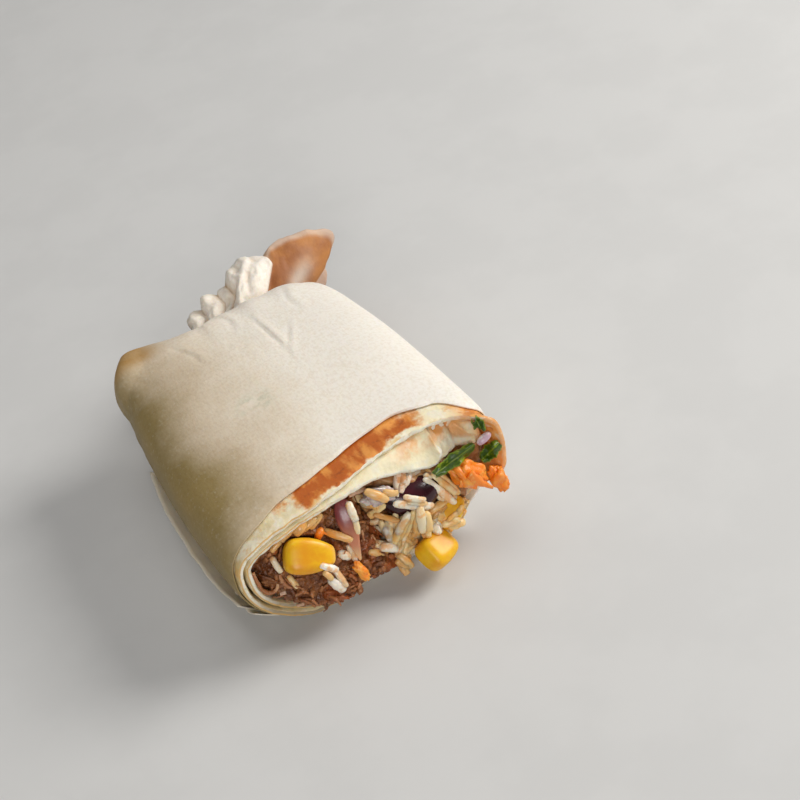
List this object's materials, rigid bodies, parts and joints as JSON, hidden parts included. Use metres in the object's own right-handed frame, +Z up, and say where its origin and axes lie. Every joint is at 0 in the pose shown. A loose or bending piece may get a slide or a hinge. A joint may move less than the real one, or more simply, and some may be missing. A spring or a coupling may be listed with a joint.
{
  "type": "pulled beef wrap",
  "caption": "Half of a cut pulled beef tortilla wrap in crumpled-end greaseproof paper, lying flat with its filling showing at the cut.",
  "frame": {"origin": "on the table, under the middle of the bounding box", "axes": "+X to the right across the cut, +Y from the cut face towards the crumpled tail of the paper, +Z up"},
  "size_m": [0.073, 0.1056, 0.0341],
  "materials": {
    "paper": "matt, fine fibres",
    "tortilla": "matt, toasted in patches",
    "beef": "moist, fibrous",
    "rice": "moist",
    "corn": "smooth, moist",
    "bean": "shiny skin",
    "onion": "moist, slightly see-through",
    "carrot": "moist",
    "leaf": "moist",
    "sauce": "creamy"
  },
  "bodies": {
    "root": {"paper_wrap": "paper", "tortilla": "tortilla", "pulled_beef": "beef", "rice": "rice", "corn_left": "corn", "corn_low": "corn", "corn_middle": "corn", "kidney_bean": "bean", "onion_long": "onion", "onion_bit": "onion", "carrot_chunk": "carrot", "carrot_side": "carrot", "carrot_bit": "carrot", "leaf_low": "leaf", "leaf_top": "leaf", "leaf_side": "leaf", "sauce": "sauce"}
  },
  "joints": []
}
